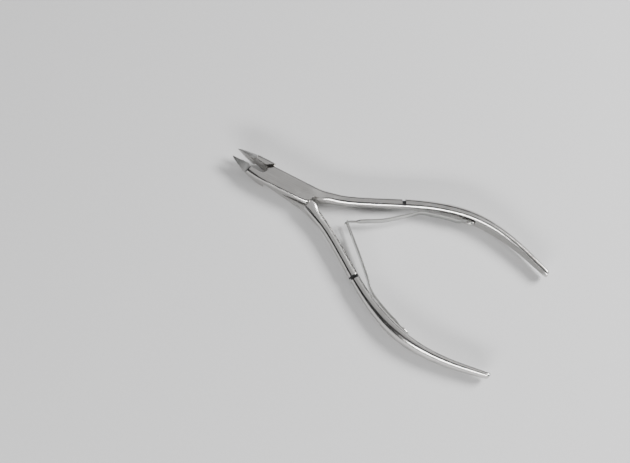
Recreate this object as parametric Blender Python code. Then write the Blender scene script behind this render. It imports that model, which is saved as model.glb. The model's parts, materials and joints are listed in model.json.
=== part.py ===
"""Cuticle nipper with a half-lap joint, a screwed pivot and a double leaf spring, lying flat, jaws open.

Lengths below are in millimetres and become metres in point(). Each lever is drawn in its own frame, as it
lies when the jaws are closed: pivot at 0,0, jaws towards -X, handles towards +X, cutting edges along y = 0.
It is then turned by half the opening angle. side is 1 for the upper lever, whose handle is at +Y and whose
half of the lap is in front, and -1 for the lower lever, which is its mirror image with the back half.
"""

import math

import bmesh
import bpy
import numpy as np
from mathutils import Matrix, Vector

MM = 0.001
OPEN_ANGLE = 8.2  # degrees between the jaws at rest

# Lap joint
LAP_HALF_WIDTH = 3.4
LAP_HALF_HEIGHT = 3.2
LAP_ROUND = 1.1
LAP_CLEARANCE = 0.12  # from the lap face to the middle plane
LAP_JAW_X = -8.4
LAP_HANDLE_X = 9.7
LAP_ROOM = [(-10.5, 0.9), (-6.0, -4.2), (10.8, -4.2), (9.4, 4.6), (-10.5, 4.6)]  # cut for the other half
CUT_REACH = 6.0  # how far cutters run from the middle plane

# Jaws: the bar that both are cut from, as x, half width, lowest z, highest z
TIP_X = -20.5
EDGE_END_X = -14.8
EDGE_GAP = 0.06  # from the cutting edge to the middle when closed
NOTCH_LENGTH = 1.3
NOTCH_DEPTH = 0.85
BAR_STATIONS = [
    (10.3, 2.9, -1.9, 1.9),
    (9.0, LAP_HALF_WIDTH, -LAP_HALF_HEIGHT, LAP_HALF_HEIGHT),
    (-8.5, LAP_HALF_WIDTH, -LAP_HALF_HEIGHT, LAP_HALF_HEIGHT),
    (-11.5, 3.2, -2.9, LAP_HALF_HEIGHT),
    (-14.5, 2.65, -1.6, 3.15),
    (-17.5, 1.75, 0.0, 2.8),
    (-19.6, 0.75, 1.2, 2.4),
    (TIP_X, 0.2, 1.7, 2.2),
]
FACET_PLAN = [(-22.0, 0.0), (-13.7, 0.0), (-13.4, -0.9), (-14.6, -4.2), (-22.0, -4.2)]
FACET_RISE = 0.17  # up for each unit along the edge, away from the tip
FACET_FALL = 0.75  # down for each unit outwards from the edge

# Pivot screw
SCREW_RADIUS = 1.5
SCREW_HEAD_RADIUS = 2.3
SCREW_HEAD_HEIGHT = 1.0
SCREW_CLEARANCE = 0.1
SCREW_TOP = 1.8
DRIVER_SLOT = (0.6, 0.5)  # width, depth

# Handles: centre line, then the section's width and height along it
HANDLE_LINE = [(6.0, 0.9), (10.2, 1.9), (17.7, 4.1), (29.1, 9.3), (36.5, 13.0), (47.9, 17.8)]
HANDLE_LINE += [(57.6, 20.1), (66.0, 20.4), (76.0, 18.7), (89.2, 14.4)]
HANDLE_WIDTH = [4.4, 3.6, 3.0, 2.9, 3.0, 3.4, 3.7, 3.2, 2.6, 1.9]
HANDLE_HEIGHT = [6.2, 5.6, 4.4, 4.1, 4.2, 5.2, 6.4, 6.2, 5.2, 3.8]
HANDLE_STATIONS = 44
HANDLE_SIDES = 20
SECTION_POWER = 2.3  # 2 is an ellipse, more is boxier
END_ROUND = 1.0
GROOVE_X = 36.5
GROOVE_WIDTH = 1.2
GROOVE_DEPTH = 0.45
GROOVE_CORE_HALF_HEIGHT = 1.65  # what the groove leaves of the handle's height there

# Leaf springs
SPRING_MEET = 23.9  # from the pivot to the crossing of the two leaves
SPRING_BEND_X = 44.8
SPRING_THICKNESS = 0.45
SPRING_WIDTH = 2.8
SPRING_TAIL = 1.5
TONGUE_WIDTH = 0.9
TONGUE_LENGTH = 3.2
FORK_SLOT = 1.5
FORK_LENGTH = 3.4
SPRING_OFFSET = 1.35  # from the handle's inner face to the middle of the leaf
SPRING_RUN = (55.0, 51.0, SPRING_BEND_X)  # along the handle, from the foot to the bend
SPRING_BOW = [(4.0, 0.25), (10.3, -0.1)]  # along and across the straight part, after the bend
SPRING_CURL = 0.12  # the tip's turn past the crossing
SPRING_STATIONS = 45
FOOT_GAP = 0.3
FOOT_X = 57.0
FOOT_END_X = 61.0
RIVET_X = 59.2
RIVET_RADIUS = 0.7
RIVET_HEAD_RADIUS = 1.15
RIVET_HEAD_HEIGHT = 0.5
RIVET_DEPTH = 1.6
RIVET_CLEARANCE = 0.1
RIVET_SIDES = 20

STEEL = (0.62, 0.61, 0.59)
SPRING_STEEL = (0.70, 0.69, 0.67)


def clear_scene():
    for obj in list(bpy.data.objects):
        bpy.data.objects.remove(obj)


def point(x, y, z):
    return Vector((x, y, z)) * MM


def material(name, colour, roughness):
    made = bpy.data.materials.new(name)
    made.use_nodes = True
    shader = made.node_tree.nodes["Principled BSDF"]
    shader.inputs["Base Color"].default_value = (*colour, 1)
    shader.inputs["Metallic"].default_value = 1.0
    shader.inputs["Roughness"].default_value = roughness
    return made


def object_from(name, mesh_data):
    """A new object from a bmesh, with its faces turned outwards."""
    bmesh.ops.recalc_face_normals(mesh_data, faces=mesh_data.faces)
    mesh = bpy.data.meshes.new(name)
    mesh_data.to_mesh(mesh)
    mesh_data.free()
    made = bpy.data.objects.new(name, mesh)
    bpy.context.scene.collection.objects.link(made)
    return made


def prism(name, outline, low, high):
    """A solid with a flat outline, from height low to high."""
    shape = bmesh.new()
    corners = [shape.verts.new(point(x, y, low)) for x, y in outline]
    base = shape.faces.new(corners)
    raised = bmesh.ops.extrude_face_region(shape, geom=[base])
    moved = [item for item in raised["geom"] if isinstance(item, bmesh.types.BMVert)]
    bmesh.ops.translate(shape, verts=moved, vec=point(0, 0, high - low))
    return object_from(name, shape)


def cylinder(name, centre, axis, radius, length, sides=32):
    """A round bar from centre along axis."""
    shape = bmesh.new()
    turn = Vector((0, 0, 1)).rotation_difference(Vector(axis)).to_matrix().to_4x4()
    middle = Vector(centre) * MM + Vector(axis).normalized() * length * MM / 2
    bmesh.ops.create_cone(
        shape,
        cap_ends=True,
        segments=sides,
        radius1=radius * MM,
        radius2=radius * MM,
        depth=length * MM,
        matrix=Matrix.Translation(middle) @ turn,
    )
    return object_from(name, shape)


def loft(name, rings):
    """A closed skin over rings that have the same number of points."""
    shape = bmesh.new()
    rows = [[shape.verts.new(corner) for corner in ring] for ring in rings]
    for first, second in zip(rows, rows[1:]):
        for i in range(len(first)):
            j = (i + 1) % len(first)
            shape.faces.new((first[i], first[j], second[j], second[i]))
    shape.faces.new(rows[0][::-1])
    shape.faces.new(rows[-1])
    return object_from(name, shape)


def combine(target, other, operation):
    """Applies a Boolean to target and removes the other object."""
    modifier = target.modifiers.new("combine", "BOOLEAN")
    modifier.object = other
    modifier.operation = operation
    modifier.solver = "EXACT"
    graph = bpy.context.evaluated_depsgraph_get()
    result = bpy.data.meshes.new_from_object(target.evaluated_get(graph))
    target.modifiers.clear()
    target.data = result
    bpy.data.objects.remove(other)


def smooth_line(points, count):
    """count points along a Catmull-Rom curve through the given rows."""
    rows = np.array(points, float)
    ends = [2 * rows[0] - rows[1]], [2 * rows[-1] - rows[-2]]
    padded = np.concatenate([ends[0], rows, ends[1]])
    line = []
    for t in np.linspace(0, len(rows) - 1, count):
        i = min(int(t), len(rows) - 2)
        u = t - i
        a, b, c, d = padded[i : i + 4]
        bend = (2 * a - 5 * b + 4 * c - d) * u * u + (3 * b - a - 3 * c + d) * u**3
        line.append((2 * b + (c - a) * u + bend) / 2)
    return np.array(line)


def handle_stations():
    """Rows of x, y, width, height along a handle, with the end rounded off."""
    driving = [
        (x, y, width, height)
        for (x, y), width, height in zip(HANDLE_LINE, HANDLE_WIDTH, HANDLE_HEIGHT)
    ]
    rows = smooth_line(driving, HANDLE_STATIONS)
    end = rows[-1]
    along = (rows[-1] - rows[-2])[:2]
    along /= np.linalg.norm(along)
    rounding = []
    for angle in (25, 50, 72):
        reach = END_ROUND * math.sin(math.radians(angle))
        shrink = math.cos(math.radians(angle))
        rounding.append((*(end[:2] + along * reach), end[2] * shrink, end[3] * shrink))
    return np.concatenate([rows, rounding])


def directions(line):
    """Unit vectors along a plan line at each of its points."""
    steps = np.gradient(line[:, :2], axis=0)
    return steps / np.linalg.norm(steps, axis=1)[:, None]


def handle(name, side):
    """The neck and handle as one tapering oval bar."""
    rows = handle_stations()
    rings = []
    for (x, y, width, height), (along_x, along_y) in zip(rows, directions(rows)):
        ring = []
        for k in range(HANDLE_SIDES):
            angle = 2 * math.pi * (k + 0.5) / HANDLE_SIDES
            across = superellipse(math.cos(angle)) * width / 2
            up = superellipse(math.sin(angle)) * height / 2
            ring.append(point(x - along_y * across, side * (y + along_x * across), up))
        rings.append(ring)
    return loft(name, rings)


def superellipse(value):
    return math.copysign(abs(value) ** (2 / SECTION_POWER), value)


def bar_section(half_width, low, high, rounding, x):
    """A rectangle with round corners, across the jaws and the lap at x."""
    ring = []
    reach = min(rounding, half_width * 0.9, (high - low) * 0.45)
    centres = [(1, high, 0), (-1, high, 90), (-1, low, 180), (1, low, 270)]
    for across, level, start in centres:
        for step in range(4):
            angle = math.radians(start + step * 30)
            y = across * (half_width - reach) + reach * math.cos(angle)
            inward = -1 if level == high else 1
            z = level + inward * reach + reach * math.sin(angle)
            ring.append(point(x, y, z))
    return ring


def jaw_bar(name):
    """Both jaws and the lap as one closed bar that narrows to the tips."""
    rings = [bar_section(wide, low, high, LAP_ROUND, x) for x, wide, low, high in BAR_STATIONS]
    return loft(name, rings)


def lever_outline(side):
    """What one lever keeps of the bar, in plan: its own jaw, the whole lap and the root of its neck."""
    outline = [
        (TIP_X - 1, -EDGE_GAP),
        (EDGE_END_X, -EDGE_GAP),
        (EDGE_END_X + NOTCH_LENGTH, -NOTCH_DEPTH),
        (LAP_JAW_X, -NOTCH_DEPTH - 0.15),
        (-6.6, 2.2),
        (-6.2, 4.0),
        (11.0, 4.0),
        (11.0, 1.2),
        (LAP_HANDLE_X, -0.1),
        (8.5, -4.0),
        (TIP_X - 1, -4.0),
    ]
    return [(x, side * y) for x, y in outline]


def lap_cutter(side):
    """The room for the other lever's half of the lap, between this lever's two shoulders."""
    level = side * LAP_CLEARANCE
    low, high = (-CUT_REACH, level) if side > 0 else (level, CUT_REACH)
    return prism("lap_cutter", [(x, side * y) for x, y in LAP_ROOM], low, high)


def facet_height(x, y):
    """The ground front facet: it rises from the tip along the edge, and falls from the edge outwards."""
    return LAP_HALF_HEIGHT + FACET_RISE * (x - EDGE_END_X) - FACET_FALL * abs(y)


def facet_cutter(side):
    """The solid above the front facet, from in front of the tip back to a line across the jaw."""
    shape = bmesh.new()
    low = [shape.verts.new(point(x, side * y, facet_height(x, y))) for x, y in FACET_PLAN]
    high = [shape.verts.new(point(x, side * y, CUT_REACH)) for x, y in FACET_PLAN]
    for i in range(len(low)):
        j = (i + 1) % len(low)
        shape.faces.new((low[i], low[j], high[j], high[i]))
    shape.faces.new(low[::-1])
    shape.faces.new(high)
    return object_from("facet_cutter", shape)


def handle_point(x):
    """Centre, direction and half width of the handle where its centre line passes x."""
    rows = smooth_line(
        [(*place, width) for place, width in zip(HANDLE_LINE, HANDLE_WIDTH)], 400
    )
    nearest = int(np.argmin(abs(rows[:, 0] - x)))
    along = directions(rows)[nearest]
    return rows[nearest, :2], along, rows[nearest, 2] / 2


def inner_point(x, distance):
    """A point at that distance off the handle's inner face, and the unit vector towards the handle."""
    centre, along, half = handle_point(x)
    outward = np.array([-along[1], along[0]])
    return centre - outward * (half + distance), outward


def groove_cutter(side):
    """A collar that cuts the ornamental groove round the handle, all but its inner face."""
    centre, along, half = handle_point(GROOVE_X)
    outward = np.array([-along[1], along[0]])
    across = centre - outward * (half - GROOVE_DEPTH * 2)
    half_width = along * GROOVE_WIDTH / 2
    corners = [
        across - half_width,
        across + half_width,
        across + half_width + outward * CUT_REACH,
        across - half_width + outward * CUT_REACH,
    ]
    plan = [(x, side * y) for x, y in corners]
    collar = prism("groove_cutter", plan, -CUT_REACH, CUT_REACH)
    rings = []
    for reach in (-2 * GROOVE_WIDTH, 2 * GROOVE_WIDTH):
        ring = []
        for k in range(HANDLE_SIDES):
            angle = 2 * math.pi * (k + 0.5) / HANDLE_SIDES
            wide = superellipse(math.cos(angle)) * (half - GROOVE_DEPTH)
            high = superellipse(math.sin(angle)) * GROOVE_CORE_HALF_HEIGHT
            x, y = centre + along * reach + outward * wide
            ring.append(point(x, side * y, high))
        rings.append(ring)
    combine(collar, loft("groove_core", rings), "DIFFERENCE")
    return collar


def rivet_hole(side, length):
    """The drill for the spring's rivet, from 1 mm off the handle's inner face, outwards."""
    face, outward = inner_point(RIVET_X, 1.0)
    return cylinder(
        "rivet_hole",
        (face[0], side * face[1], 0),
        (outward[0], side * outward[1], 0),
        RIVET_RADIUS + RIVET_CLEARANCE,
        length,
        RIVET_SIDES,
    )


def lever(name, side):
    """One forging: jaw, half lap, neck and handle."""
    made = jaw_bar(name)
    combine(made, prism("outline", lever_outline(side), -CUT_REACH, CUT_REACH), "INTERSECT")
    combine(made, handle("handle", side), "UNION")
    combine(made, lap_cutter(side), "DIFFERENCE")
    combine(made, facet_cutter(side), "DIFFERENCE")
    combine(made, groove_cutter(side), "DIFFERENCE")
    bore = SCREW_RADIUS + SCREW_CLEARANCE
    bottom = (0, 0, -CUT_REACH)
    reach = CUT_REACH + SCREW_TOP + SCREW_CLEARANCE
    combine(made, cylinder("bore", bottom, (0, 0, 1), bore, reach), "DIFFERENCE")
    if side < 0:
        seat = SCREW_HEAD_RADIUS + SCREW_CLEARANCE
        reach = CUT_REACH - LAP_HALF_HEIGHT + SCREW_HEAD_HEIGHT + 2 * SCREW_CLEARANCE
        combine(made, cylinder("seat", bottom, (0, 0, 1), seat, reach), "DIFFERENCE")
    combine(made, rivet_hole(side, 1.0 + RIVET_DEPTH + RIVET_CLEARANCE), "DIFFERENCE")
    return made


def pivot_screw():
    """A slotted screw, sunk in the back lap and blind in the front lap."""
    bottom = -LAP_HALF_HEIGHT + SCREW_CLEARANCE / 2
    screw = cylinder(
        "pivot_screw", (0, 0, bottom), (0, 0, 1), SCREW_HEAD_RADIUS, SCREW_HEAD_HEIGHT
    )
    inside_head = bottom + SCREW_HEAD_HEIGHT / 2
    length = SCREW_TOP - inside_head
    shank = cylinder("shank", (0, 0, inside_head), (0, 0, 1), SCREW_RADIUS, length)
    combine(screw, shank, "UNION")
    width, depth = DRIVER_SLOT
    reach = SCREW_HEAD_RADIUS + 1
    outline = [(-reach, -width / 2), (reach, -width / 2), (reach, width / 2), (-reach, width / 2)]
    combine(screw, prism("slot", outline, bottom - 1, bottom + depth), "DIFFERENCE")
    return screw


def spring_line(side):
    """Rows of x, y, width along a leaf, from the end of its foot to its tip."""
    foot = [inner_point(x, FOOT_GAP + SPRING_THICKNESS / 2)[0] for x in (FOOT_END_X, FOOT_X + 0.6)]
    run = [inner_point(x, SPRING_OFFSET)[0] for x in SPRING_RUN]
    turn = math.radians(-OPEN_ANGLE / 2)
    meet = np.array([math.cos(turn), math.sin(turn)]) * SPRING_MEET
    towards = (meet - run[-1]) / np.linalg.norm(meet - run[-1])
    sideways = np.array([-towards[1], towards[0]])
    bow = [run[-1] + towards * along + sideways * across for along, across in SPRING_BOW]
    straight = [meet - towards * TONGUE_LENGTH * 2]
    end = [meet - towards * TONGUE_LENGTH, meet]
    end.append(meet + towards * SPRING_TAIL + sideways * SPRING_CURL)
    line = foot + run + bow + straight
    widths = [SPRING_WIDTH] * len(line) + [TONGUE_WIDTH if side > 0 else SPRING_WIDTH] * len(end)
    return [(*place, width) for place, width in zip(line + end, widths)]


def leaf_spring(name, side):
    """A bent flat strip. The upper leaf ends in a tongue, the lower one in a fork round it."""
    rows = smooth_line(spring_line(side), SPRING_STATIONS)
    rings = []
    for (x, y, width), (along_x, along_y) in zip(rows, directions(rows)):
        ring = []
        for across, up in ((1, 1), (-1, 1), (-1, -1), (1, -1)):
            shift = across * SPRING_THICKNESS / 2
            place = point(x - along_y * shift, side * (y + along_x * shift), up * width / 2)
            ring.append(place)
        rings.append(ring)
    made = loft(name, rings)
    combine(made, rivet_hole(side, 1.0), "DIFFERENCE")
    if side < 0:
        towards = rows[-1, :2] - rows[-6, :2]
        towards /= np.linalg.norm(towards)
        sideways = np.array([-towards[1], towards[0]])
        start = rows[-1, :2] - towards * (FORK_LENGTH + SPRING_TAIL)
        beyond = start + towards * 2 * (FORK_LENGTH + SPRING_TAIL)
        reach = sideways * SPRING_WIDTH
        corners = [start - reach, beyond - reach, beyond + reach, start + reach]
        outline = [(x, side * y) for x, y in corners]
        combine(made, prism("fork", outline, -FORK_SLOT / 2, FORK_SLOT / 2), "DIFFERENCE")
    return made


def spring_rivet(name, side):
    """A domed rivet through the leaf's foot into the handle."""
    head_at = FOOT_GAP * 2 + SPRING_THICKNESS
    face, outward = inner_point(RIVET_X, head_at)
    axis = (outward[0], side * outward[1], 0)
    place = (face[0], side * face[1], 0)
    length = head_at + RIVET_DEPTH
    made = cylinder(name, place, axis, RIVET_RADIUS, length, RIVET_SIDES)
    head_base = (
        face[0] - outward[0] * RIVET_HEAD_HEIGHT,
        side * (face[1] - outward[1] * RIVET_HEAD_HEIGHT),
        0,
    )
    head = cylinder("head", head_base, axis, RIVET_HEAD_RADIUS, RIVET_HEAD_HEIGHT + 0.1, RIVET_SIDES)
    combine(made, head, "UNION")
    return made


def place_piece(piece, side, axis_point, pivot):
    """Turns a piece to the open rest pose and puts its origin on its joint's axis."""
    turn = Matrix.Rotation(math.radians(side * OPEN_ANGLE / 2), 4, "Z")
    piece.data.transform(turn)
    origin = turn @ Vector(axis_point)
    piece.data.transform(Matrix.Translation(-origin))
    piece.location = origin
    piece.parent = pivot


def stand_on_floor(pieces, pivot):
    """Moves the whole nipper so that the bottom centre of its box is the origin."""
    bpy.context.view_layer.update()
    corners = [piece.matrix_world @ v.co for piece in pieces for v in piece.data.vertices]
    low = [min(corner[i] for corner in corners) for i in range(3)]
    high = [max(corner[i] for corner in corners) for i in range(3)]
    pivot.location = (-(low[0] + high[0]) / 2, -(low[1] + high[1]) / 2, -low[2])
    bpy.context.view_layer.update()


def finish(piece, look):
    piece.data.materials.clear()
    piece.data.materials.append(look)
    piece.data.shade_smooth()
    piece.data.set_sharp_from_angle(angle=math.radians(30))


def main():
    clear_scene()
    steel = material("satin_steel", STEEL, 0.22)
    bright = material("bright_spring_steel", SPRING_STEEL, 0.15)
    pivot = bpy.data.objects.new("pivot_axis", None)
    bpy.context.scene.collection.objects.link(pivot)
    pieces = []
    for word, side in (("upper", 1), ("lower", -1)):
        foot = inner_point(RIVET_X, 0)[0]
        hinge = point(foot[0], side * foot[1], 0)
        parts = (
            (lever(f"{word}_lever", side), (0, 0, 0), steel),
            (leaf_spring(f"{word}_leaf_spring", side), hinge, bright),
            (spring_rivet(f"{word}_spring_rivet", side), hinge, bright),
        )
        for piece, axis_point, look in parts:
            place_piece(piece, side, axis_point, pivot)
            finish(piece, look)
            pieces.append(piece)
    screw = pivot_screw()
    place_piece(screw, 1, (0, 0, 0), pivot)
    finish(screw, steel)
    pieces.append(screw)
    stand_on_floor(pieces, pivot)


main()
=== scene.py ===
"""The looks of a steel cuticle nipper, lying open on its back face.

Both levers are one forging, drawn in its own frame with the jaws closed: the pivot at 0,0,0, the jaws towards
-X, the handle towards +X on the +Y side, and the cutting edges along y = 0. The lower lever is its mirror image
with the other half of the lap. Numbers are millimetres and become metres times MM. A finished piece is turned
by half the opening and set on the pivot.
"""

import json
import math
from collections import namedtuple

import bmesh
import bpy
import numpy as np
from mathutils import Matrix, Vector


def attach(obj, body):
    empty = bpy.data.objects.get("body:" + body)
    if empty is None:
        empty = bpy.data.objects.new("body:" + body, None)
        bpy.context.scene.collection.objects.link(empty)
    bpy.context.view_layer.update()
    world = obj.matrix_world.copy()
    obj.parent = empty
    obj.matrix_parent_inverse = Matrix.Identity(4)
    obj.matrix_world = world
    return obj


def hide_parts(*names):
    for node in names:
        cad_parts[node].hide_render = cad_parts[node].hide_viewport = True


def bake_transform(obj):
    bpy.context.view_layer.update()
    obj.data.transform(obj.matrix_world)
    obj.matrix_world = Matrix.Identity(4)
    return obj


MM = 0.001
MERGE_WITHIN = 1e-6  # metres

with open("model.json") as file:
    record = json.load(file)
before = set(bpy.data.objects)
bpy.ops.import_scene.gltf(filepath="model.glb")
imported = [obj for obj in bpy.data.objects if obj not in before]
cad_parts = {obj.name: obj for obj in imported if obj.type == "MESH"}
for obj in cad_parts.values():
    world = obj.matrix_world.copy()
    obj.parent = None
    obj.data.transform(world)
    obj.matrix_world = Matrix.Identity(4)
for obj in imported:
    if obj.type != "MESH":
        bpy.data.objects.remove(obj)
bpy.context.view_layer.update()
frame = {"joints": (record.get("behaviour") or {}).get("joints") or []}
bpy.ops.object.select_all(action="DESELECT")

joints = {joint["name"]: joint for joint in frame["joints"]}
PIVOT = Vector(joints["handles_close"]["pos_m"])
OPEN_ANGLE = math.radians(joints["handles_close"]["range_deg"][1])

# Camera
CAMERA_FROM_PIVOT = Vector((67.07, -138.12, 362.04)) * MM
CAMERA_LOOKS = Vector((-0.13066, 0.33373, -0.93357))
CAMERA_UP = Vector((-0.51106, 0.78422, 0.35187))
CAMERA_LENS = 67.27

# Handle, as pairs of x and a measure there: where its middle runs, its width and height, and how flat its inner
# side is against its outer one
MIDDLE = [(6.0, 0.9), (10.2, 1.9), (17.7, 4.1), (29.1, 9.3), (36.5, 13.0), (47.9, 17.8)]
MIDDLE += [(57.6, 20.1), (66.0, 20.4), (76.0, 18.7), (89.2, 14.4)]
WIDTH = [(10.2, 3.6), (17.7, 3.0), (29.1, 2.9), (36.5, 3.0), (47.9, 3.4)]
WIDTH += [(57.6, 3.7), (66.0, 3.2), (76.0, 2.6), (89.2, 1.9)]
HEIGHT = [(10.2, 5.6), (17.7, 4.4), (29.1, 4.1), (36.5, 4.2), (47.9, 5.2)]
HEIGHT += [(57.6, 6.4), (66.0, 6.2), (76.0, 5.2), (89.2, 3.8)]
FLATNESS = [(34.0, 1.0), (40.0, 0.95), (47.0, 0.55), (60.0, 0.45), (80.0, 0.5), (89.2, 0.7)]
HANDLE_START = 17.7
HANDLE_END = 89.2
HANDLE_STEP = 4.2
HANDLE_ROUNDED_END = ((0.55, 0.88), (0.95, 0.6))  # how far past its end, and the share of its size there
NECK_INSIDE = [(10.6, 0.2), (11.6, 0.42), (13.0, 0.82), (15.0, 1.46)]
FACE_GROUND_OFF = 0.6

# Lap and jaws
TIP_X = -20.5
EDGE_END_X = -14.8
EDGE_GAP = 0.06
LAP_HALF_HEIGHT = 3.2
LAP_CLEARANCE = 0.12
LAP_ROOM = [(-10.7, 0.6), (-9.4, -0.9), (-7.3, -3.0), (-7.1, -4.2), (10.8, -4.2), (9.4, 5.0), (-10.7, 5.0)]
BORE_RADIUS = 1.6
BORE_END = 1.9
SEAT_RADIUS = 2.4
SEAT_FLOOR = -2.0
CUT_REACH = 8  # how far a cutter runs above and below the middle

# The ground facet of each jaw: its slopes along the edge and outwards, and its rear corner
FACET_RISE = 0.1
FACET_FALL = 0.75
FACET_LEAN = 0.33
FACET_REAR_X = -13.2
FACET_REAR_Y = -0.9
FACET_REAR_TURN = -20
FACET_RUN_OUT = 0.5
FACET_BLOCK = 10

# The square groove over the outer side of each handle
GROOVE_X = {"upper": 37.1, "lower": 36.5}
GROOVE_WIDE = 1.25
GROOVE_DEEP = 0.45
GROOVE_SHIFT = 2.0

# Leaf springs
SPRING_THICK = 0.45
SPRING_WIDE = 2.8
FOOT_OFF = 0.3 + SPRING_THICK / 2
FOOT_X = (61.2, 60.6, 59.2, 57.6)
FOOT_ROUND = 1.0
RUN_OFF = {"upper": 1.3, "lower": 0.95}
RUN_X = (55.4, 53.0, 50.0, 47.5, 46.4)
LEAF_STEP = 0.45
TONGUE_WIDE = 0.95
TONGUE_LONG = 4.0
TONGUE_FLARE = 1.3
TONGUE_ROUND = 0.5
FORK_DEEP = 5.2
FORK_GAP = 1.5
FORK_ROUND = 0.7
FORK_BLOCK = 9
SPRING_FREE = {
    # from the bend to the tip: the upper leaf sags a little and its tongue curls, the lower one is straight
    "upper": [(44.9, 13.8), (39.2, 9.2), (33.7, 4.5), (28.8, 1.5), (25.8, -0.3), (23.8, -1.55), (22.8, -2.9)],
    "lower": [(44.7, 13.9), (39.4, 9.88), (33.6, 5.58), (28.3, 1.86), (25.8, 0.1), (24.1, -1.1), (23.3, -1.68)],
}

# Spring rivets
RIVET_X = 59.2
RIVET_HEAD_UNDER = 0.6 + SPRING_THICK
RIVET_HEAD_RADIUS = 1.16
RIVET_RIM = 0.12
RIVET_DOME = 0.48
RIVET_SHANK_RADIUS = 0.68
RIVET_SHANK_LONG = 2.0
RIVET_HOLE_RADIUS = 0.8

# Screw: its outline as radius and height, from the middle of the head to the end of the shank
SCREW_HEAD_FLAT = -3.15
SCREW_OUTLINE = [(0, SCREW_HEAD_FLAT), (2.12, SCREW_HEAD_FLAT), (2.3, -2.97), (2.3, -2.2)]
SCREW_OUTLINE += [(1.5, -2.15), (1.5, 1.6), (1.3, 1.8), (0, 1.8)]
DRIVER_SLOT = (6, 0.6, 1.0)
DRIVER_SLOT_TURN = 38

# Finishes of a lever, by their place among its materials; the groove's is painted shade
FORGED, GROUND, GROOVE_PAINTED_SHADE = range(3)

Station = namedtuple("Station", "x y z wide high square flat")


# ---------------------------------------------------------------- hand tools

def smooth_at(x, points):
    """The value at x on a smooth curve through the points."""
    xs, ys = np.array(points).T
    slopes = np.gradient(ys, xs)
    x = min(max(x, xs[0]), xs[-1])
    i = min(int(np.searchsorted(xs, x, side="right")) - 1, len(xs) - 2)
    step = xs[i + 1] - xs[i]
    t = (x - xs[i]) / step
    start = (1 + 2 * t) * (1 - t) ** 2 * ys[i] + t * (1 - t) ** 2 * step * slopes[i]
    end = t * t * (3 - 2 * t) * ys[i + 1] + t * t * (t - 1) * step * slopes[i + 1]
    return float(start + end)


def slope_at(x):
    """The handle's angle to X in plan."""
    return math.atan2(smooth_at(x + 0.5, MIDDLE) - smooth_at(x - 0.5, MIDDLE), 1.0)


def work_on(piece):
    if bpy.context.mode != "OBJECT":
        bpy.ops.object.mode_set(mode="OBJECT")
    bpy.ops.object.select_all(action="DESELECT")
    piece.select_set(True)
    bpy.context.view_layer.objects.active = piece


def newest(name):
    piece = bpy.context.view_layer.objects.active
    piece.name = name
    piece.data.name = name
    return piece


def edit(piece):
    work_on(piece)
    bpy.ops.object.mode_set(mode="EDIT")
    bpy.ops.mesh.select_mode(type="VERT")


def done():
    bpy.ops.object.mode_set(mode="OBJECT")


def pick(piece, wanted):
    """In edit mode, selects just the corners that the test wants."""
    mesh = bmesh.from_edit_mesh(piece.data)
    for vertex in mesh.verts:
        vertex.select_set(False)
    mesh.select_flush(False)
    for vertex in mesh.verts:
        if wanted(vertex.co):
            vertex.select_set(True)
    mesh.select_flush(True)
    bmesh.update_edit_mesh(piece.data)


def apply_place(piece):
    work_on(piece)
    bpy.ops.object.transform_apply(location=True, rotation=True, scale=True)


def tidy_mesh(piece):
    edit(piece)
    bpy.ops.mesh.select_all(action="SELECT")
    bpy.ops.mesh.remove_doubles(threshold=MERGE_WITHIN)
    bpy.ops.mesh.normals_make_consistent(inside=False)
    done()


def apply_modifier(piece, kind, **settings):
    work_on(piece)
    modifier = piece.modifiers.new(kind.lower(), kind)
    for key, value in settings.items():
        setattr(modifier, key, value)
    bpy.ops.object.modifier_apply(modifier=modifier.name)


def smooth_skin(piece, levels):
    apply_modifier(piece, "SUBSURF", levels=levels, render_levels=levels)


def cut(piece, cutter, operation="DIFFERENCE"):
    apply_modifier(piece, "BOOLEAN", object=cutter, operation=operation, solver="EXACT")
    bpy.data.objects.remove(cutter)


def soften(piece, width, angle):
    """Takes the sharpness off the edges that turn by more than the angle."""
    apply_modifier(
        piece,
        "BEVEL",
        width=width * MM,
        segments=2,
        limit_method="ANGLE",
        angle_limit=math.radians(angle),
        harden_normals=False,
    )


def shade(piece):
    work_on(piece)
    bpy.ops.object.shade_smooth_by_angle(angle=math.radians(30))


def plate(name, outline, low, high):
    """A flat plate with an outline in plan, from height low to high."""
    flat = bpy.data.curves.new(name, "CURVE")
    flat.dimensions = "2D"
    flat.fill_mode = "BOTH"
    flat.extrude = (high - low) / 2 * MM
    line = flat.splines.new("POLY")
    line.points.add(len(outline) - 1)
    line.use_cyclic_u = True
    for corner, (x, y) in zip(line.points, outline):
        corner.co = (x * MM, y * MM, 0, 1)
    piece = bpy.data.objects.new(name, flat)
    bpy.context.scene.collection.objects.link(piece)
    work_on(piece)
    bpy.ops.object.convert(target="MESH")
    piece = newest(name)
    piece.location.z = (high + low) / 2 * MM
    apply_place(piece)
    tidy_mesh(piece)
    return piece


def round_bar(name, radius, low, high):
    """A round bar that stands up on the pivot, from height low to high."""
    bpy.ops.mesh.primitive_cylinder_add(
        vertices=48,
        radius=radius * MM,
        depth=(high - low) * MM,
        location=(0, 0, (low + high) / 2 * MM),
    )
    piece = newest(name)
    apply_place(piece)
    return piece


# ---------------------------------------------------------------- the forging

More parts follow.
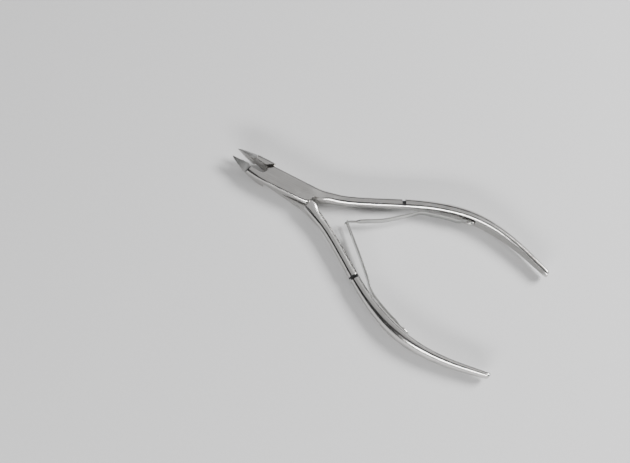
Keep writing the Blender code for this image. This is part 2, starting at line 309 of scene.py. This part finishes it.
def lap_stations():
    """From the jaw tips over the lap to the neck: one bar for both jaws, which the outline cuts in two."""
    rows = [
        # x, lowest y, highest y, lowest z, highest z, squareness
        (-20.55, -0.16, 0.16, 2.1, 2.62, 0.0),
        (-20.1, -0.5, 0.5, 1.6, 2.78, 0.1),
        (-18.9, -1.15, 1.15, 0.85, 3.0, 0.2),
        (-17.0, -1.95, 1.95, -0.25, 3.18, 0.3),
        (-14.8, -2.65, 2.65, -1.5, 3.25, 0.45),
        (-12.8, -3.05, 3.05, -2.35, 3.25, 0.55),
        (-10.8, -3.3, 3.3, -3.05, 3.22, 0.7),
        (-8.9, -3.42, 3.42, -3.22, 3.2, 0.9),
        (-7.0, -3.44, 3.44, -3.22, 3.2, 1.0),
        (-2.0, -3.43, 3.43, -3.22, 3.2, 1.0),
        (3.0, -3.42, 3.43, -3.2, 3.2, 1.0),
        (6.4, -3.4, 3.5, -3.14, 3.11, 0.95),
        (9.0, -3.3, 3.68, -2.95, 3.05, 0.75),
        (11.0, -2.1, 4.0, -2.72, 2.8, 0.5),
        (12.7, -0.3, 4.42, -2.5, 2.55, 0.32),
        (14.6, 1.2, 4.95, -2.34, 2.38, 0.2),
    ]
    stations = []
    for x, left, right, low, high, square in rows:
        y, wide = (left + right) / 2, (right - left) / 2
        z, tall = (low + high) / 2, (high - low) / 2
        stations.append(Station(x, y, z, wide, tall, square, 1.0))
    return stations


def handle_stations():
    """The handle from the neck to its end, round at first and then like half a lens."""
    stations = []
    steps = round((HANDLE_END - HANDLE_START) / HANDLE_STEP)
    for x in np.linspace(HANDLE_START, HANDLE_END, steps + 1):
        width = smooth_at(x, WIDTH) / math.cos(slope_at(x))
        height = smooth_at(x, HEIGHT)
        flat = smooth_at(x, FLATNESS)
        outer = width / (1 + flat)
        rim = smooth_at(x, MIDDLE) - width / 2 + outer * flat
        flat += FACE_GROUND_OFF / outer
        square = 0.1 if x < 40 else 0.0
        stations.append(Station(x, rim, 0.0, outer, height / 2, square, flat))
    last = stations[-1]
    for reach, share in HANDLE_ROUNDED_END:
        x, y = last.x + reach, last.y + reach * math.tan(slope_at(HANDLE_END - 1))
        stations.append(Station(x, y, 0.0, last.wide * share, last.high * share, 0.0, last.flat))
    return stations


# How far a section's corners stand out: on a circle, and on the square-shouldered lap
ROUND_SIDE, SQUARE_SIDE = (0.924, 0.383), (1.0, 0.76)
ROUND_CORNER, SQUARE_CORNER = 0.707, 0.9
# How far from a station, and from a circle's or a square's diagonal, a corner may lie and still belong there
AT_STATION = 0.01
AT_DIAGONAL = 0.1


def between(a, b, share):
    return a + (b - a) * share


def stretch(x, y, z, across, up):
    bpy.ops.transform.resize(
        value=(1, across, up),
        orient_type="GLOBAL",
        center_override=(x * MM, y * MM, z * MM),
    )


def ring_part(station, part):
    """A test that finds one family of corners of the section at a station."""

    def wanted(place):
        if abs(place.x / MM - station.x) > AT_STATION:
            return False
        across = (place.y / MM - station.y) / station.wide
        if across < 0:
            across /= station.flat
        across, up = abs(across), abs((place.z / MM - station.z) / station.high)
        if min(across, up) < AT_DIAGONAL:
            return part == "all"
        if part == "corner":
            return abs(across - up) < AT_DIAGONAL
        if part == "side":
            return across - up >= AT_DIAGONAL
        if part == "top":
            return up - across >= AT_DIAGONAL
        return True

    return wanted


def inner_half(station):
    """A test that finds the corners on the inner side of the section at a station."""

    def wanted(place):
        return abs(place.x / MM - station.x) < AT_STATION and place.y / MM < station.y - 0.001

    return wanted


def squared(round_share, square_share, was, now):
    """By how much a corner moves out when the squareness of its section changes."""
    return between(round_share, square_share, now) / between(round_share, square_share, was)


def shape_ring(piece, station, was_square, was_flat):
    """Gives the newest ring its squareness and flattens its inner side."""
    at = (station.x, station.y, station.z)
    if station.flat != was_flat:
        pick(piece, inner_half(station))
        stretch(*at, station.flat / was_flat, 1)
    if station.square != was_square:
        wide = squared(ROUND_SIDE[0], SQUARE_SIDE[0], was_square, station.square)
        high = squared(ROUND_SIDE[1], SQUARE_SIDE[1], was_square, station.square)
        corner = squared(ROUND_CORNER, SQUARE_CORNER, was_square, station.square)
        for part, across, up in (("side", wide, high), ("top", high, wide), ("corner", corner, corner)):
            pick(piece, ring_part(station, part))
            stretch(*at, across, up)
    pick(piece, ring_part(station, "all"))


def bar_through(name, stations):
    """A smooth bar: a ring at the first station, extruded from station to station and shaped at each."""
    first = stations[0]
    bpy.ops.mesh.primitive_circle_add(
        vertices=16,
        radius=MM,
        location=(first.x * MM, first.y * MM, first.z * MM),
        rotation=(0, math.pi / 2, 0),
    )
    bar = newest(name)
    apply_place(bar)
    edit(bar)
    bpy.ops.mesh.select_all(action="SELECT")
    stretch(first.x, first.y, first.z, first.wide, first.high)
    shape_ring(bar, first, 0.0, 1.0)
    for old, new in zip(stations, stations[1:]):
        move = Vector((new.x - old.x, new.y - old.y, new.z - old.z)) * MM
        bpy.ops.mesh.extrude_region_move(TRANSFORM_OT_translate={"value": move})
        stretch(new.x, new.y, new.z, new.wide / old.wide, new.high / old.high)
        shape_ring(bar, new, old.square, old.flat)
    bpy.ops.mesh.select_all(action="SELECT")
    bpy.ops.mesh.fill_holes(sides=16)
    bpy.ops.mesh.select_all(action="SELECT")
    bpy.ops.mesh.normals_make_consistent(inside=False)
    done()
    return bar


def inner_face(x):
    """Where the handle's flat inner face runs, and the neck's before it."""
    if x >= HANDLE_START:
        beyond = max(0.0, x - HANDLE_END) * math.tan(slope_at(HANDLE_END - 1))
        x = min(x, HANDLE_END)
        return smooth_at(x, MIDDLE) - smooth_at(x, WIDTH) / math.cos(slope_at(x)) / 2 + beyond
    return smooth_at(x, NECK_INSIDE + [(at, inner_face(at)) for at in (HANDLE_START, 21.0)])


def keep_outline():
    """What one lever keeps of the bar in plan: its jaw, the lap with its two shoulders, and the handle.

    The first corners follow the cutting edge and the hollow behind it, the arc is the root of the front
    shoulder, and the last ones lie under the neck. The corners at 40 and -10 stand clear of the bar.
    """
    arc = [(-8.95 + 0.55 * math.cos(a), -0.45 - 0.55 * math.sin(a)) for a in np.radians((80, 55, 30, 5))]
    handle_x = np.arange(95.0, HANDLE_START, -1.5)
    neck_x = np.arange(17.1, 10.5, -0.5)
    inside = [(x, inner_face(x)) for x in (*handle_x, *neck_x)]
    return [
        (TIP_X - 1, -EDGE_GAP),
        (EDGE_END_X, -EDGE_GAP),
        (-14.3, -0.22),
        (-13.75, -0.62),
        (-13.35, -0.82),
        (-12.8, -0.9),
        *arc,
        (-6.75, 2.4),
        (-6.3, 5.0),
        (-6.3, 40.0),
        (95.0, 40.0),
        *inside,
        (10.1, 0.08),
        (9.75, -0.25),
        (9.5, -0.9),
        (8.6, -3.2),
        (8.4, -10.0),
        (TIP_X - 1, -10.0),
    ]


def facet_cutter():
    """A block whose underside is the ground facet, with the wheel's run-out along its rear edge."""
    bpy.ops.mesh.primitive_cube_add(size=FACET_BLOCK * MM)
    block = newest("facet_cutter")
    edit(block)
    pick(block, lambda at: at.x > 0 and at.z < 0)
    bpy.ops.mesh.bevel(offset=FACET_RUN_OUT * MM, segments=5, affect="EDGES")
    done()
    # The underside lies along the edge line and falls outwards; the rear wall stands across the jaw.
    along = Vector((1, 0, FACET_RISE)).normalized()
    outward = Vector((FACET_LEAN, -1, -FACET_FALL + FACET_LEAN * FACET_RISE)).normalized()
    normal = along.cross(-outward).normalized()
    across = normal.cross(along)
    turn = Matrix((along, across, normal)).transposed().to_4x4()
    slant = Matrix.Rotation(math.radians(FACET_REAR_TURN), 4, "Z")
    height = LAP_HALF_HEIGHT + FACET_RISE * (FACET_REAR_X - EDGE_END_X) + FACET_FALL * FACET_REAR_Y
    corner = Vector((FACET_REAR_X, FACET_REAR_Y, height))
    middle = Matrix.Translation((-FACET_BLOCK / 2 * MM, 0, FACET_BLOCK / 2 * MM))
    block.data.transform(Matrix.Translation(corner * MM) @ turn @ slant @ middle)
    return block


def groove_cutter(at_x):
    """A disc with an oval hole, which grinds a square groove over the handle's outer side.

    The disc stands well clear of the handle outside, and the hole is shifted inwards.
    """
    slope = slope_at(at_x)
    half_width = smooth_at(at_x, WIDTH) / 2
    half_height = smooth_at(at_x, HEIGHT) / 2
    outward = Vector((-math.sin(slope), math.cos(slope), 0))
    middle = Vector((at_x, smooth_at(at_x, MIDDLE), 0))
    shift = outward * GROOVE_SHIFT
    rings = []
    for name, place, across, high, thick in (
        ("groove_cutter", middle + shift, half_width + 3.5, half_height + 1.5, GROOVE_WIDE),
        ("groove_core", middle - shift, half_width + GROOVE_SHIFT - GROOVE_DEEP, half_height - 0.15, 3.0),
    ):
        bpy.ops.mesh.primitive_cylinder_add(vertices=64, radius=1, depth=1, rotation=(0, math.pi / 2, 0))
        ring = newest(name)
        apply_place(ring)
        ring.scale = (thick * MM, across * MM, high * MM)
        ring.rotation_euler = (0, 0, slope)
        ring.location = place * MM
        apply_place(ring)
        rings.append(ring)
    cut(rings[0], rings[1])
    return rings[0]


def forging():
    """Jaw, lap, neck and handle in one, before the lap is halved."""
    bar = bar_through("forging", lap_stations() + handle_stations())
    smooth_skin(bar, 3)
    cut(bar, plate("outline", keep_outline(), -CUT_REACH, CUT_REACH), "INTERSECT")
    cut(bar, facet_cutter())
    return bar


def lever(blank, name, word):
    """One lever from a copy of the forging, with its half of the lap."""
    work_on(blank)
    bpy.ops.object.duplicate()
    piece = newest(name)
    upper = word == "upper"
    low, high = (-CUT_REACH, LAP_CLEARANCE) if upper else (-LAP_CLEARANCE, CUT_REACH)
    cut(piece, plate("lap_room", LAP_ROOM, low, high))
    cut(piece, groove_cutter(GROOVE_X[word]))
    if upper:
        cut(piece, round_bar("bore", BORE_RADIUS, -4, BORE_END))
    else:
        cut(piece, round_bar("bore", BORE_RADIUS, -CUT_REACH, 4))
        cut(piece, round_bar("seat", SEAT_RADIUS, -CUT_REACH, SEAT_FLOOR))
    tidy_mesh(piece)
    return piece


def put_in_place(piece, side):
    """Mirrors a lower piece, turns it by half the opening and sets it on the pivot."""
    piece.scale = (1, side, 1)
    apply_place(piece)
    if side < 0:
        edit(piece)
        bpy.ops.mesh.select_all(action="SELECT")
        bpy.ops.mesh.normals_make_consistent(inside=False)
        done()
    piece.rotation_euler = (0, 0, side * OPEN_ANGLE / 2)
    piece.location = PIVOT
    apply_place(piece)


def record_grain(piece):
    """Keeps each point's place along, across and up the lever, so that brushing can follow its curves."""
    count = len(piece.data.vertices)
    places = np.empty(count * 3)
    piece.data.vertices.foreach_get("co", places)
    places = places.reshape(-1, 3)
    xs = np.linspace(MIDDLE[0][0], MIDDLE[-1][0], 200)
    ys = np.array([smooth_at(x, MIDDLE) for x in xs])
    middle = np.interp(places[:, 0] / MM, xs, ys)
    places[:, 1] -= middle * MM
    kept = piece.data.attributes.new("grain", "FLOAT_VECTOR", "POINT")
    kept.data.foreach_set("vector", places.astype(np.float32).reshape(-1))


def paint_parts(piece, steel, ground, groove_shade, groove_x):
    """The forging's own finish, the ground facet of the jaw, and the groove painted near-black as painted
    shade.
    """
    piece.data.materials.clear()
    for finish in (steel, ground, groove_shade):
        piece.data.materials.append(finish)
    slope = slope_at(groove_x)
    middle = Vector((groove_x, smooth_at(groove_x, MIDDLE), 0))
    along = Vector((math.cos(slope), math.sin(slope), 0))
    outward = Vector((-math.sin(slope), math.cos(slope), 0))
    facet = Vector((-FACET_RISE, -FACET_FALL, 1)).normalized()
    edge_end = Vector((EDGE_END_X, 0, LAP_HALF_HEIGHT))
    inner_wall = 0.1 - smooth_at(groove_x, WIDTH) / 2
    for face in piece.data.polygons:
        at = face.center / MM
        past = abs((at - middle).dot(along))
        off_inner_wall = (at - middle).dot(outward) >= inner_wall
        on_floor = past < GROOVE_WIDE / 2 - 0.02
        on_side = past < GROOVE_WIDE / 2 + 0.02 and abs(face.normal.dot(along)) > 0.8
        off_facet = abs((at - edge_end).dot(facet))
        # The groove's floor and sides, off the inner wall, get the near-black painted shade of its recess
        if off_inner_wall and (on_floor or on_side):
            face.material_index = GROOVE_PAINTED_SHADE
        elif face.normal.dot(facet) > 0.97 and off_facet < 0.06 and at.x < -12:
            face.material_index = GROUND
        else:
            face.material_index = FORGED


def add_levers(steel, ground, groove_shade):
    blank = forging()
    pieces = []
    for name, word, side in (("upper_forging", "upper", 1), ("lower_forging", "lower", -1)):
        piece = lever(blank, name, word)
        soften(piece, 0.1, angle=30)
        record_grain(piece)
        paint_parts(piece, steel, ground, groove_shade, GROOVE_X[word])
        put_in_place(piece, side)
        shade(piece)
        pieces.append(piece)
    bpy.data.objects.remove(blank)
    for piece, body, node in zip(pieces, ("upper_half", "lower_half"), ("upper_lever", "lower_lever")):
        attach(piece, body)
        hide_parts(node)


# ---------------------------------------------------------------- springs, rivets and screw

def off_handle(x, distance):
    """A point that far off the handle's inner face, and the direction towards the handle."""
    slope = slope_at(x)
    towards = Vector((-math.sin(slope), math.cos(slope), 0))
    face = Vector((x, smooth_at(x, MIDDLE), 0)) - towards * smooth_at(x, WIDTH) / 2
    return face - towards * distance, towards


def leaf_path(word):
    """Points along a leaf's middle, from the end of its foot to its tip, close together at the bends."""
    foot = [off_handle(x, FOOT_OFF)[0] for x in FOOT_X]
    run = [off_handle(x, RUN_OFF[word])[0] for x in RUN_X]
    points = np.array([(place.x, place.y) for place in foot + run] + SPRING_FREE[word])
    along = np.concatenate([[0], np.cumsum(np.linalg.norm(np.diff(points, axis=0), axis=1))])
    xs, ys = (list(zip(along, points[:, axis])) for axis in (0, 1))
    return np.array([(smooth_at(at, xs), smooth_at(at, ys)) for at in np.arange(0, along[-1], LEAF_STEP)])


def rounded(distance, radius):
    """The share of its width that a strip has at a distance from its round end."""
    if distance >= radius:
        return 1.0
    return math.sqrt(1 - (1 - max(distance, 0.12) / radius) ** 2)


def leaf_width(word, from_foot, from_tip):
    """The strip's width: the foot is round, and the upper leaf ends in a narrow tongue."""
    wide = SPRING_WIDE * rounded(from_foot, FOOT_ROUND)
    if word == "upper":
        tongue = TONGUE_WIDE + max(0.0, from_tip - TONGUE_LONG) * TONGUE_FLARE
        wide = min(wide, tongue) * rounded(from_tip, TONGUE_ROUND)
    return wide


def leaf_spring(word):
    """A flat strip, extruded along its path from the foot, with the rivet's hole and the lower one's fork."""
    path = leaf_path(word)
    slopes = np.gradient(path, axis=0)
    thick = SPRING_THICK * np.hypot(slopes[:, 0], slopes[:, 1]) / np.abs(slopes[:, 0])
    steps = np.concatenate([[0], np.cumsum(np.linalg.norm(np.diff(path, axis=0), axis=1))])
    wide = [leaf_width(word, step, steps[-1] - step) for step in steps]
    bpy.ops.mesh.primitive_plane_add(
        size=MM,
        location=(path[0][0] * MM, path[0][1] * MM, 0),
        rotation=(0, math.pi / 2, 0),
    )
    strip = newest(word + "_leaf")
    apply_place(strip)
    edit(strip)
    bpy.ops.mesh.select_all(action="SELECT")
    stretch(path[0][0], path[0][1], 0, thick[0], wide[0])
    for i in range(1, len(path)):
        move = Vector((path[i][0] - path[i - 1][0], path[i][1] - path[i - 1][1], 0)) * MM
        bpy.ops.mesh.extrude_region_move(TRANSFORM_OT_translate={"value": move})
        stretch(path[i][0], path[i][1], 0, thick[i] / thick[i - 1], wide[i] / wide[i - 1])
    done()
    tidy_mesh(strip)
    if word == "lower":
        cut(strip, fork_cutter(path))
    face, towards = off_handle(RIVET_X, 3.0)
    cut(strip, cross_bar("rivet_hole", face, towards, RIVET_HOLE_RADIUS, 2.9))
    soften(strip, 0.09, angle=50)
    return strip


def fork_cutter(path):
    """A block with a round end that opens the fork between the two tines."""
    tip = Vector((*path[-1], 0))
    back = Vector((*(path[-12] - path[-1]), 0)).normalized()
    root = tip + back * FORK_DEEP
    slope = math.atan2(back.y, back.x)
    bpy.ops.mesh.primitive_cube_add(size=1)
    slot = newest("fork_cutter")
    slot.scale = (FORK_BLOCK * MM, 4 * MM, FORK_GAP * MM)
    apply_place(slot)
    edit(slot)
    pick(slot, lambda at: at.x > 0)
    bpy.ops.mesh.bevel(offset=FORK_ROUND * MM, segments=5, affect="EDGES")
    done()
    slot.rotation_euler = (0, 0, slope)
    slot.location = (root - back * FORK_BLOCK / 2) * MM
    apply_place(slot)
    return slot


def cross_bar(name, start, towards, radius, length):
    """A round bar that lies flat, from start along a direction."""
    bpy.ops.mesh.primitive_cylinder_add(vertices=32, radius=radius * MM, depth=length * MM)
    bar = newest(name)
    bar.rotation_euler = towards.to_track_quat("Z", "Y").to_euler()
    bar.location = (start + towards * length / 2) * MM
    apply_place(bar)
    return bar


def turned(name, profile, steps):
    """A round piece spun from half its outline, given as radius and height from the bottom up."""
    line = bpy.data.curves.new(name, "CURVE")
    line.dimensions = "3D"
    spline = line.splines.new("POLY")
    spline.points.add(len(profile) - 1)
    for corner, (radius, height) in zip(spline.points, profile):
        corner.co = (radius * MM, 0, height * MM, 1)
    piece = bpy.data.objects.new(name, line)
    bpy.context.scene.collection.objects.link(piece)
    work_on(piece)
    bpy.ops.object.convert(target="MESH")
    piece = newest(name)
    edit(piece)
    bpy.ops.mesh.select_all(action="SELECT")
    bpy.ops.mesh.spin(steps=steps, angle=math.tau, center=(0, 0, 0), axis=(0, 0, 1))
    done()
    tidy_mesh(piece)
    return piece


def spring_rivet(word):
    """A domed rivet through the leaf's foot."""
    shank = [(0, -RIVET_SHANK_LONG), (RIVET_SHANK_RADIUS, -RIVET_SHANK_LONG), (RIVET_SHANK_RADIUS, 0.0)]
    dome = []
    for angle in np.radians((90, 75, 60, 45, 30, 15)):
        dome.append((RIVET_HEAD_RADIUS * math.sin(angle), RIVET_RIM + RIVET_DOME * math.cos(angle)))
    profile = [*shank, (RIVET_HEAD_RADIUS, 0.0), *dome, (0, RIVET_RIM + RIVET_DOME)]
    rivet = turned(word + "_rivet", profile, 32)
    head, towards = off_handle(RIVET_X, RIVET_HEAD_UNDER - 0.25)
    rivet.rotation_euler = (-towards).to_track_quat("Z", "Y").to_euler()
    rivet.location = head * MM
    apply_place(rivet)
    return rivet


def pivot_screw():
    """A slotted screw with a chamfered head, sunk in the back."""
    screw = turned("screw", SCREW_OUTLINE, 64)
    bpy.ops.mesh.primitive_cube_add(size=1)
    slot = newest("driver_slot")
    slot.scale = [size * MM for size in DRIVER_SLOT]
    slot.rotation_euler = (0, 0, math.radians(DRIVER_SLOT_TURN))
    slot.location = (0, 0, SCREW_HEAD_FLAT * MM)
    apply_place(slot)
    cut(screw, slot)
    soften(screw, 0.06, angle=35)
    return screw


def add_springs(spring_steel, rivet_steel):
    for word, side in (("upper", 1), ("lower", -1)):
        leaf = leaf_spring(word)
        rivet = spring_rivet(word)
        for piece, finish in ((leaf, spring_steel), (rivet, rivet_steel)):
            piece.data.materials.clear()
            piece.data.materials.append(finish)
            put_in_place(piece, side)
            shade(piece)
        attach(rivet, word + "_half")
        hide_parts(word + "_spring_rivet")
        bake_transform(leaf)
        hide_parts(word + "_leaf_spring")


def add_screw(steel):
    screw = pivot_screw()
    screw.data.materials.append(steel)
    put_in_place(screw, 1)
    shade(screw)
    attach(screw, "upper_half")
    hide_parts("pivot_screw")


# ---------------------------------------------------------------- finishes

def new_finish(name, metallic=1.0):
    finish = bpy.data.materials.new(name)
    finish.use_nodes = True
    finish.node_tree.nodes["Principled BSDF"].inputs["Metallic"].default_value = metallic
    return finish


def add_node(finish, kind, inputs=(), **settings):
    """A shader node. Its inputs are pairs of a name and a value or another node's output."""
    node = finish.node_tree.nodes.new("ShaderNode" + kind)
    for key, value in settings.items():
        setattr(node, key, value)
    for name, value in inputs:
        join(finish, value, node.inputs[name])
    return node


def join(finish, value, socket):
    if isinstance(value, bpy.types.NodeSocket):
        finish.node_tree.links.new(value, socket)
    else:
        socket.default_value = value


def grain(finish, source, scale, detail=3.0, soft=0.5):
    """Noise drawn out to lines: the larger the scale along an axis, the closer the lines across it."""
    mapping = add_node(finish, "Mapping", [("Vector", source), ("Scale", scale)])
    settings = [("Vector", mapping.outputs["Vector"]), ("Scale", 1.0), ("Detail", detail), ("Roughness", soft)]
    noise = add_node(finish, "TexNoise", settings)
    return noise.outputs["Fac"]


def spread(finish, value, low, high, start=0.3, end=0.7):
    """Maps noise between start and end to values between low and high."""
    settings = [("Value", value), ("From Min", start), ("From Max", end), ("To Min", low), ("To Max", high)]
    mapped = add_node(finish, "MapRange", settings)
    return mapped.outputs["Result"]


def mixed(finish, first, second, share):
    mix = add_node(finish, "Mix", data_type="FLOAT")
    join(finish, share, mix.inputs[0])
    join(finish, first, mix.inputs[2])
    join(finish, second, mix.inputs[3])
    return mix.outputs[0]


def two_greys(finish, first, second, share):
    mix = add_node(finish, "Mix", data_type="RGBA")
    join(finish, share, mix.inputs[0])
    join(finish, (*first, 1), mix.inputs[6])
    join(finish, (*second, 1), mix.inputs[7])
    return mix.outputs[2]


def finish_steel(finish, lines, fine, smudge, dark, bright, rough, bump):
    """Joins brushing, fine lines and smudges into colour, roughness and bump."""
    shader = finish.node_tree.nodes["Principled BSDF"]
    both = mixed(finish, lines, smudge, 0.4)
    join(finish, two_greys(finish, dark, bright, spread(finish, both, 0.0, 1.0)), shader.inputs["Base Color"])
    texture = mixed(finish, both, fine, 0.35)
    join(finish, spread(finish, texture, rough[0], rough[1], 0.35, 0.65), shader.inputs["Roughness"])
    height = mixed(finish, lines, fine, 0.6)
    relief = add_node(finish, "Bump", [("Height", height), ("Strength", bump), ("Distance", 0.03 * MM)])
    join(finish, relief.outputs["Normal"], shader.inputs["Normal"])


def brushed_forging_steel():
    finish = new_finish("brushed_forging_steel")
    along = add_node(finish, "Attribute", attribute_name="grain").outputs["Vector"]
    lines = grain(finish, along, (90, 5200, 5200))
    fine = grain(finish, along, (260, 15000, 15000), 2.0)
    smudge = grain(finish, along, (190, 260, 260), 4.0, 0.6)
    finish_steel(finish, lines, fine, smudge, (0.48, 0.47, 0.455), (0.66, 0.65, 0.63), (0.14, 0.28), 0.2)
    return finish


def ground_blade_steel():
    finish = new_finish("ground_blade_steel")
    place = add_node(finish, "Attribute", attribute_name="grain").outputs["Vector"]
    lines = grain(finish, place, (4200, 260, 260))
    fine = grain(finish, place, (9500, 700, 700), 2.0)
    smudge = grain(finish, place, (400, 400, 400), 3.0)
    finish_steel(finish, lines, fine, smudge, (0.42, 0.42, 0.41), (0.56, 0.56, 0.55), (0.30, 0.46), 0.35)
    return finish


# Painted shade: the groove's near-black colour stands for the shade in its recess
def groove_painted_shade_steel():
    finish = new_finish("groove_painted_shade_steel")
    place = add_node(finish, "Attribute", attribute_name="grain").outputs["Vector"]
    lines = grain(finish, place, (5000, 900, 900))
    smudge = grain(finish, place, (900, 900, 900), 4.0)
    # near-black greys: painted shade for the groove's recess
    finish_steel(finish, lines, lines, smudge, (0.03, 0.03, 0.032), (0.10, 0.10, 0.10), (0.38, 0.6), 0.3)
    return finish


def rolled_spring_steel():
    finish = new_finish("rolled_spring_steel")
    place = add_node(finish, "TexCoord").outputs["Object"]
    lines = grain(finish, place, (90, 90, 4200))
    fine = grain(finish, place, (300, 300, 9000), 2.0)
    smudge = grain(finish, place, (500, 500, 500), 3.0)
    finish_steel(finish, lines, fine, smudge, (0.44, 0.44, 0.43), (0.60, 0.60, 0.58), (0.12, 0.26), 0.15)
    return finish


def upset_rivet_steel():
    finish = new_finish("upset_rivet_steel")
    place = add_node(finish, "TexCoord").outputs["Object"]
    lines = grain(finish, place, (2600, 2600, 2600))
    fine = grain(finish, place, (6000, 6000, 6000), 2.0)
    smudge = grain(finish, place, (900, 900, 900), 3.0)
    finish_steel(finish, lines, fine, smudge, (0.52, 0.51, 0.49), (0.70, 0.69, 0.67), (0.16, 0.34), 0.3)
    return finish


def turned_screw_steel():
    """Turning marks: rings round the pivot."""
    finish = new_finish("turned_screw_steel")
    place = add_node(finish, "TexCoord").outputs["Object"]
    moved = add_node(finish, "VectorMath", [(0, place), (1, PIVOT)], operation="SUBTRACT").outputs[0]
    flat = add_node(finish, "VectorMath", [(0, moved), (1, (1, 1, 0))], operation="MULTIPLY").outputs[0]
    radius = add_node(finish, "VectorMath", [(0, flat)], operation="LENGTH").outputs["Value"]
    lines = grain(finish, radius, (7000, 7000, 7000))
    fine = grain(finish, moved, (5000, 5000, 5000), 2.0)
    smudge = grain(finish, moved, (700, 700, 700), 3.0)
    finish_steel(finish, lines, fine, smudge, (0.46, 0.45, 0.43), (0.64, 0.63, 0.61), (0.2, 0.38), 0.3)
    return finish


# ---------------------------------------------------------------- studio

def place_camera():
    lens = bpy.data.cameras.new("camera")
    lens.lens = CAMERA_LENS
    lens.clip_start = 0.01
    camera = bpy.data.objects.new("camera", lens)
    back = -CAMERA_LOOKS.normalized()
    right = CAMERA_UP.cross(back).normalized()
    turn = Matrix((right, back.cross(right), back)).transposed().to_4x4()
    camera.matrix_world = Matrix.Translation(PIVOT + CAMERA_FROM_PIVOT) @ turn
    bpy.context.scene.collection.objects.link(camera)
    bpy.context.scene.camera = camera


def soft_light(name, place, size, radiance):
    """A soft box that faces the joint. Its power follows from its size and how bright its front is."""
    lamp = bpy.data.lights.new(name, "AREA")
    lamp.shape = "RECTANGLE"
    lamp.size, lamp.size_y = size
    lamp.energy = radiance * math.pi * size[0] * size[1]
    light = bpy.data.objects.new(name, lamp)
    light.location = place
    light.rotation_euler = (-Vector(place)).to_track_quat("-Z", "Y").to_euler()
    bpy.context.scene.collection.objects.link(light)


def pale_floor():
    bpy.ops.mesh.primitive_plane_add(size=4, location=(0, 0, 0))
    floor = newest("floor")
    apply_place(floor)
    paint = new_finish("pale_floor", metallic=0.0)
    shader = paint.node_tree.nodes["Principled BSDF"]
    place = add_node(paint, "TexCoord").outputs["Object"]
    speckle = grain(paint, place, (900, 900, 900), 3.0)
    tint = two_greys(paint, (0.60, 0.60, 0.60), (0.64, 0.64, 0.645), speckle)
    join(paint, tint, shader.inputs["Base Color"])
    join(paint, spread(paint, speckle, 0.6, 0.75), shader.inputs["Roughness"])
    floor.data.materials.append(paint)


def studio():
    pale_floor()
    world = bpy.data.worlds.new("studio")
    world.use_nodes = True
    background = world.node_tree.nodes["Background"]
    background.inputs["Color"].default_value = (0.035, 0.035, 0.037, 1)
    background.inputs["Strength"].default_value = 1.0
    bpy.context.scene.world = world
    soft_light("overhead_box", (-0.15, 0.35, 1.0), (2.0, 1.8), 0.58)
    soft_light("key_box", (0.42, 0.5, 0.55), (0.4, 0.3), 36.0)
    soft_light("low_strip", (0.3, -0.6, 0.3), (0.7, 0.12), 28.0)


place_camera()
add_levers(brushed_forging_steel(), ground_blade_steel(), groove_painted_shade_steel())
add_springs(rolled_spring_steel(), upset_rivet_steel())
add_screw(turned_screw_steel())
studio()
